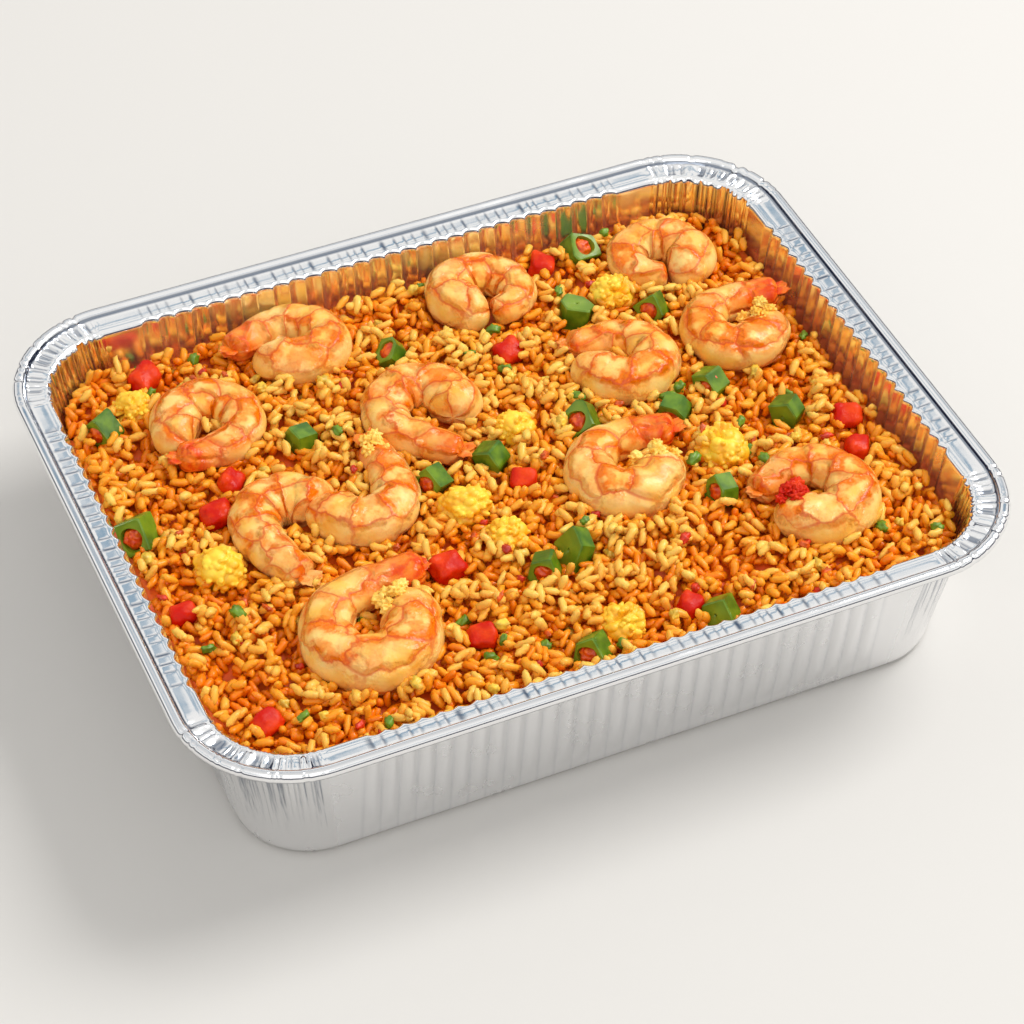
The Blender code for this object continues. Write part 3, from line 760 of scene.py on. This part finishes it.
egg_look = egg_material("egg_curd", srgb(246, 176, 16), srgb(254, 214, 60))
crumb_look = egg_material("egg_crumb", srgb(250, 186, 60), srgb(255, 218, 110))
for number in range(1, EGG_COUNT + 1):
    rnd = np.random.default_rng(50 + number)
    centre, points = solid_of(nodes[f"egg_{number}"])
    half = np.ptp(points, axis=0) / 2
    bpy.ops.mesh.primitive_ico_sphere_add(subdivisions=6, radius=1.0)
    curd = bpy.context.object
    curd.name = f"egg_curd_{number}"
    rays = np.array([v.co for v in curd.data.vertices])
    reach = np.full(len(rays), 0.45)
    for count, distance, size_of in ((16, 0.55, 0.44), (60, 0.80, 0.22), (140, 0.93, 0.11)):
        spots = rnd.standard_normal((count, 3))
        spots *= (distance * rnd.uniform(0.85, 1.12, count) / np.linalg.norm(spots, axis=1))[:, None]
        radii = size_of * rnd.uniform(0.8, 1.2, count)
        aim = rays @ spots.T
        inside = radii ** 2 - (spots ** 2).sum(axis=1) + aim ** 2
        far = np.where((inside > 0) & (aim > 0), aim + np.sqrt(np.maximum(inside, 0)), 0)
        reach = np.maximum(reach, far.max(axis=1))
    curd.data.vertices.foreach_set("co", (rays * reach[:, None] * half * 1.22).ravel())
    curd.data.transform(Matrix.Translation(Vector(centre) * MM) @ Matrix.Scale(MM, 4))
    smooth = curd.modifiers.new("soften", "SMOOTH")
    smooth.iterations = 2
    bpy.context.view_layer.objects.active = curd
    bpy.ops.object.modifier_apply(modifier="soften")
    curd.data.shade_smooth()
    curd.data.materials.append(egg_look)
    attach(curd, "root")
    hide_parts(f"egg_{number}")
    obstacles.append((*centre, 6.8))

# ------------------------------------------------------------------ clinging bits
# Crumbs of egg and of red paste cling to the ends of some shrimps.
CLINGING = [(5, 0, 8), (10, 0, 9), (12, 0, 11), (8, 1, 7), (11, 0, 9)]
for number, end, count in CLINGING:
    rnd = random.Random(80 + number)
    red = number == 11
    lumps = []
    for k in range(count):
        shift = Vector((rnd.gauss(0, 1), rnd.gauss(0, 1), 0)) * (2.2 if red else 3.6)
        size_of = rnd.uniform(1.6, 2.9)
        lump = lumpy_ball(f"bit_{number}_{k}", 4, size_of, (1, 1, 0.8), 0.7, 9.0 * number + k, 2.4)
        height = (8.6 if end == 0 else 5.2) * math.sqrt(max(0.15, 1 - (shift.length / 9.5) ** 2)) - 0.3
        place = Matrix.Translation(shrimp_ends[number - 1][end] + shift + Vector((0, 0, height)))
        lump.data.transform(Matrix.Scale(MM, 4) @ place)
        lumps.append(lump)
    bits = join(lumps, f"clinging_bits_{number}")
    bits.data.materials.append(red_look if red else crumb_look)
    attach(bits, "root")

# ------------------------------------------------------------------ rice
# Plump cooked grains that cling in small clumps. They are dropped one by one on a core
# that lies a few millimetres under the bed's surface, and each rests on what lies there.
RICE_LOW, RICE_HIGH = (np.array(corner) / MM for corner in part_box("rice_heap"))
RICE_HALF = (RICE_HIGH - RICE_LOW)[:2] / 2
RICE_CORNER = 29.0
CORE_DEPTH = 5.0
BED_LEVEL = 52.0
PITCH = 0.8
grid_x = np.arange(-RICE_HALF[0] - 2, RICE_HALF[0] + 2, PITCH)
grid_y = np.arange(-RICE_HALF[1] - 2, RICE_HALF[1] + 2, PITCH)


def edge_distance(x, y):
    """How far a place lies inside the bed's rounded outline."""
    past_x = np.abs(x) - (RICE_HALF[0] - RICE_CORNER)
    past_y = np.abs(y) - (RICE_HALF[1] - RICE_CORNER)
    outside = np.hypot(np.maximum(past_x, 0), np.maximum(past_y, 0))
    return RICE_CORNER - outside - np.minimum(np.maximum(past_x, past_y), 0)


def bed_height(x, y):
    """The bed's level without its pockets: a low crown with broad waves."""
    crown = (1 - (x / RICE_HALF[0]) ** 4) * (1 - (y / RICE_HALF[1]) ** 4)
    broad = noise.noise(Vector((x / 42, y / 42, 3.0)))
    nearest = noise.voronoi(Vector((x / 12, y / 12, 8.0 + broad)))[0][0]
    clump = 1.0 - 2.2 * nearest ** 1.5 + 0.8 * noise.noise(Vector((x / 6, y / 6, 5.0)))
    return 50.6 + 2.6 * max(crown, 0) + 1.8 * broad + 4.0 * clump


target = np.array([[bed_height(x, y) for x in grid_x] for y in grid_y])
level = target.copy()
for axis in (0, 1):
    level = sum(np.roll(level, shift, axis) for shift in range(-10, 11)) / 21
heights = target * 0.5 + 0.5 * BED_LEVEL - CORE_DEPTH
obstacle = np.array(obstacles)

GRAIN_KINDS = [("long", 3.8, 1.66, 0.45), ("plump", 3.0, 1.88, 0.20), ("bent", 3.6, 1.64, 1.0)]
GRAIN_LIMIT = 9800
MISS_LIMIT = 3000
HIGHEST_REST = 1.1
rng = np.random.default_rng(7)
grains = {kind[0]: [] for kind in GRAIN_KINDS}
misses = 0
made_count = 0
while made_count < GRAIN_LIMIT and misses < MISS_LIMIT:
    kind = GRAIN_KINDS[rng.integers(3)]
    half_length = kind[1] * rng.uniform(0.85, 1.12)
    thick = kind[2] * rng.uniform(0.88, 1.12)
    best = None
    for _ in range(5):
        x, y = rng.uniform(-1, 1, 2) * (RICE_HALF - 1.2)
        yaw = rng.uniform(0, math.pi)
        pitch = np.clip(rng.normal(0, 0.58), -1.25, 1.25)
        reach = half_length * math.cos(pitch) * 0.8
        sx = x + np.linspace(-reach, reach, 5) * math.cos(yaw)
        sy = y + np.linspace(-reach, reach, 5) * math.sin(yaw)
        if edge_distance(sx, sy).min() < 0.9:
            continue
        column = np.clip(((sx - grid_x[0]) / PITCH).round().astype(int), 0, len(grid_x) - 1)
        row = np.clip(((sy - grid_y[0]) / PITCH).round().astype(int), 0, len(grid_y) - 1)
        lift = np.linspace(-1, 1, 5) * half_length * 0.8 * math.sin(pitch)
        under = thick * np.array((0.55, 0.9, 1.0, 0.9, 0.55)) * 0.62
        z = (heights[row, column] + under - lift).max()
        excess = z - target[row[2], column[2]]
        centres = np.stack([sx, sy, z + lift], axis=1)
        gap = np.linalg.norm(centres[:, None, :] - obstacle[None, :, :3], axis=2) - obstacle[None, :, 3]
        if gap.min() < 0.35:
            continue
        if best is None or excess < best[0]:
            best = (excess, x, y, z, yaw, pitch)
    if best is None or best[0] > HIGHEST_REST:
        misses += 1
        continue
    _, x, y, z, yaw, pitch = best
    made_count += 1
    # The grain's height against the bed's mean level sets its painted shade: grains lying low are painted
    # darker, those on top paler.
    depth = float(np.clip((z - level[row[2], column[2]]) / 6.0, -0.5, 0.5))
    grains[kind[0]].append((x, y, z, yaw, pitch, half_length, thick, depth))
    span = half_length + 1
    c0, c1 = np.searchsorted(grid_x, (x - span, x + span))
    r0, r1 = np.searchsorted(grid_y, (y - span, y + span))
    px, py = np.meshgrid(grid_x[c0:c1] - x, grid_y[r0:r1] - y)
    u = px * math.cos(yaw) + py * math.sin(yaw)
    v = -px * math.sin(yaw) + py * math.cos(yaw)
    flat = max(half_length * math.cos(pitch), thick)
    inside = 1 - (u / flat) ** 2 - (v / thick) ** 2
    slant = u * math.tan(pitch) * (half_length * math.cos(pitch) / flat)
    top = z + slant + thick * np.sqrt(np.maximum(inside, 0))
    patch = heights[r0:r1, c0:c1]
    patch[inside > 0] = np.maximum(patch, top)[inside > 0]


def grain_template(bend):
    """One grain along X, its half length and thickness 1: blunt ends, a slight bend and flat."""
    shares = np.array((-0.86, -0.5, 0.0, 0.5, 0.86))
    sides = 6
    around = 2 * math.pi * np.arange(sides) / sides
    points = [(-1.0, 0.0, -bend * 0.30)]
    for i, share in enumerate(shares):
        radius = (1 - abs(share) ** 3.4) ** 0.5 * (1.0 + 0.06 * share)
        drop = -bend * 0.30 * share * share
        turns = around + 0.5 * i
        points += [(share, radius * math.cos(a), radius * 0.92 * math.sin(a) + drop) for a in turns]
    points.append((1.0, 0.0, -bend * 0.30))
    faces = [(0, 1 + (i + 1) % sides, 1 + i) for i in range(sides)]
    faces += tube_faces(len(shares), sides, 1)
    last = len(points) - 1
    faces += [(last, last - sides + i, last - sides + (i + 1) % sides) for i in range(sides)]
    return np.array(points), np.array([f + (f[2],) if len(f) == 3 else f for f in faces])


def joined_copies(name, template, placements, seed):
    """Copies of one template, each turned, scaled and placed, joined in one mesh."""
    shape, faces = template
    rnd = np.random.default_rng(seed)
    data = np.array(placements)
    x, y, z, yaw, pitch, length, thick, depth = data.T
    roll = rnd.uniform(0, 2 * math.pi, len(data))
    scaled = shape[None] * np.stack([length, thick, thick], axis=1)[:, None, :]
    wobble = 1 + 0.10 * rnd.standard_normal((len(data), len(shape), 1))
    scaled = scaled * np.clip(wobble, 0.85, 1.15)
    cr, sr = np.cos(roll)[:, None], np.sin(roll)[:, None]
    px = scaled[..., 0]
    py = scaled[..., 1] * cr - scaled[..., 2] * sr
    pz = scaled[..., 1] * sr + scaled[..., 2] * cr
    cp, sp = np.cos(pitch)[:, None], np.sin(pitch)[:, None]
    qx, qz = px * cp - pz * sp, px * sp + pz * cp
    cy, sy = np.cos(yaw)[:, None], np.sin(yaw)[:, None]
    world_x = qx * cy - py * sy + x[:, None]
    world_y = qx * sy + py * cy + y[:, None]
    world_points = np.stack([world_x, world_y, qz + z[:, None]], axis=2)
    offsets = (np.arange(len(data)) * len(shape))[:, None, None]
    all_faces = (faces[None] + offsets).reshape(-1, 4)
    face_list = [tuple(f[:3]) if f[3] == f[2] else tuple(f) for f in all_faces.tolist()]
    made = numpy_mesh(name, world_points.reshape(-1, 3), face_list)
    # a random tone for each grain plus painted shade from the grain's height in the bed
    tone_and_depth_shade = np.clip(0.50 + 0.9 * depth + 0.25 * (rnd.random(len(data)) - 0.5), 0, 1)
    float_attribute(made.data, "tone_and_depth_shade", np.repeat(tone_and_depth_shade, len(shape)))
    return made


def rice_material(name):
    """Moist rice stained by the sauce, each grain with its own tone, and with painted shade: grains low in
    the bed darker and redder, those on top paler.
    """
    look, tree, shader = new_material(name)
    tone_and_depth_shade = add_node(tree, "Attribute", attribute_name="tone_and_depth_shade").outputs["Fac"]
    blotch = between(tree, noise_value(tree, 70.0, 2.0), 0.35, 0.68)
    # painted shade and light: low grains darker orange, high grains pale yellow
    colour = mix_colour(tree, between(tree, tone_and_depth_shade, 0.05, 0.55), srgb(240, 122, 4), srgb(249, 164, 36))
    colour = mix_colour(tree, between(tree, tone_and_depth_shade, 0.5, 1.0), colour, srgb(252, 202, 92))
    colour = mix_colour(tree, calc(tree, "MULTIPLY", blotch, 0.30), colour, srgb(244, 138, 8))
    tree.links.new(colour, shader.inputs["Base Color"])
    wetness = between(tree, noise_value(tree, 220.0, 2.0), 0.35, 0.7, 0.24, 0.42)
    tree.links.new(wetness, shader.inputs["Roughness"])
    shader.inputs["Specular IOR Level"].default_value = 0.28
    shader.inputs["Subsurface Weight"].default_value = 0.2
    shader.inputs["Subsurface Radius"].default_value = (1.0, 0.35, 0.1)
    shader.inputs["Subsurface Scale"].default_value = 0.003
    bump(tree, shader, noise_value(tree, 700.0, 2.0), 0.0001, 0.3)
    return look


rice_look = rice_material("saucy_rice")
grain_pieces = []
for number, (kind, _, _, bend) in enumerate(GRAIN_KINDS):
    piece = joined_copies(f"rice_{kind}_grains", grain_template(bend), grains[kind], 20 + number)
    piece.data.materials.append(rice_look)
    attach(piece, "root")
    grain_pieces.append(piece)

# ------------------------------------------------------------------ scraps
# Small scraps of the other foods lie in the grains, each on what was there. Each kind has its
# name, colour, count, size in millimetres and material slot.
SCRAPS = [
    ("green", (112, 150, 24), 34, 2.1, "green_vegetable"),
    ("red", (222, 52, 12), 26, 1.8, "red_pepper"),
    ("orange", (232, 96, 12), 24, 1.5, "red_pepper"),
    ("yellow", (254, 206, 66), 40, 2.1, "scrambled_egg"),
]
for number, (name, shade, count, scrap_size, slot) in enumerate(SCRAPS):
    bpy.ops.mesh.primitive_ico_sphere_add(subdivisions=3, radius=1.0)
    model = bpy.context.object
    offset = Vector((number, 0, 0))
    shape = np.array([v.co * (1 + 0.45 * noise.noise(v.co * 1.7 + offset)) for v in model.data.vertices])
    triangles = np.array([(*p.vertices, p.vertices[2]) for p in model.data.polygons])
    bpy.data.objects.remove(model)
    scraps = []
    while len(scraps) < count:
        x, y = rng.uniform(-1, 1, 2) * (RICE_HALF - 4)
        z = heights[int((y - grid_y[0]) / PITCH), int((x - grid_x[0]) / PITCH)]
        gap = np.linalg.norm(obstacle[:, :2] - (x, y), axis=1) - obstacle[:, 3]
        if edge_distance(x, y) > 4 and gap.min() > 1.5:
            long = scrap_size * rng.uniform(0.9, 1.7)
            turn = rng.uniform(0, 3)
            tilt = rng.normal(0, 0.3)
            thick = scrap_size * rng.uniform(0.6, 1.0)
            scraps.append((x, y, z, turn, tilt, long, thick, 0))
    piece = joined_copies(f"{name}_scraps", (shape, triangles), scraps, 40 + number)
    scrap_look, tree, shader = new_material(f"{name}_scrap")
    dark = tuple(0.6 * part for part in srgb(*shade))
    tree.links.new(mix_colour(tree, between(tree, noise_value(tree, 300.0), 0.35, 0.65), dark, srgb(*shade)),
                   shader.inputs["Base Color"])
    shader.inputs["Roughness"].default_value = 0.4
    bump(tree, shader, noise_value(tree, 600.0, 2.0), 0.0003, 0.5)
    piece.data.materials.append(scrap_look)
    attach(piece, "root")

# ------------------------------------------------------------------ rice core
# The mass of rice below the grains, closed down to the tray's floor and narrower there.
CORE_DROP = 0.040
CORE_MIDDLE = 0.030
CORE_FOOT = 0.90
core_step = 2.4
core_x = np.arange(-RICE_HALF[0] + 1.0, RICE_HALF[0] - 0.9, core_step)
core_y = np.arange(-RICE_HALF[1] + 1.0, RICE_HALF[1] - 0.9, core_step)
keep = {}
points = []
for j, y in enumerate(core_y):
    for i, x in enumerate(core_x):
        if edge_distance(x, y) > 0.8:
            keep[i, j] = len(points)
            rough = 0.9 * noise.noise(Vector((x / 3.4, y / 3.4, 1.0)))
            points.append((x, y, bed_height(x, y) * 0.5 + 0.5 * BED_LEVEL - CORE_DEPTH + rough))
faces = [(keep[i, j], keep[i + 1, j], keep[i + 1, j + 1], keep[i, j + 1]) for i, j in keep
         if (i + 1, j) in keep and (i, j + 1) in keep and (i + 1, j + 1) in keep]
core = numpy_mesh("rice_core", points, faces)
bpy.ops.object.select_all(action="DESELECT")
core.select_set(True)
bpy.context.view_layer.objects.active = core
bpy.ops.object.mode_set(mode="EDIT")
bpy.ops.mesh.select_all(action="SELECT")
bpy.ops.mesh.extrude_region_move(TRANSFORM_OT_translate={"value": (0, 0, -CORE_DROP)})
bpy.ops.object.mode_set(mode="OBJECT")
for vertex in core.data.vertices:
    if vertex.co.z < CORE_MIDDLE:
        vertex.co = (vertex.co.x * CORE_FOOT, vertex.co.y * CORE_FOOT, RICE_LOW[2] * MM)
face_outwards(core)
# The core is coloured a darker orange than the grains: painted shade in the gaps between them.
core_look, tree, shader = new_material("rice_core_painted_shade")
colour = mix_colour(tree, noise_value(tree, 300.0, 3.0), srgb(214, 78, 2), srgb(236, 108, 8))
tree.links.new(colour, shader.inputs["Base Color"])
shader.inputs["Roughness"].default_value = 0.5
core.data.materials.append(core_look)
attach(core, "root")
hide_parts("rice_heap")
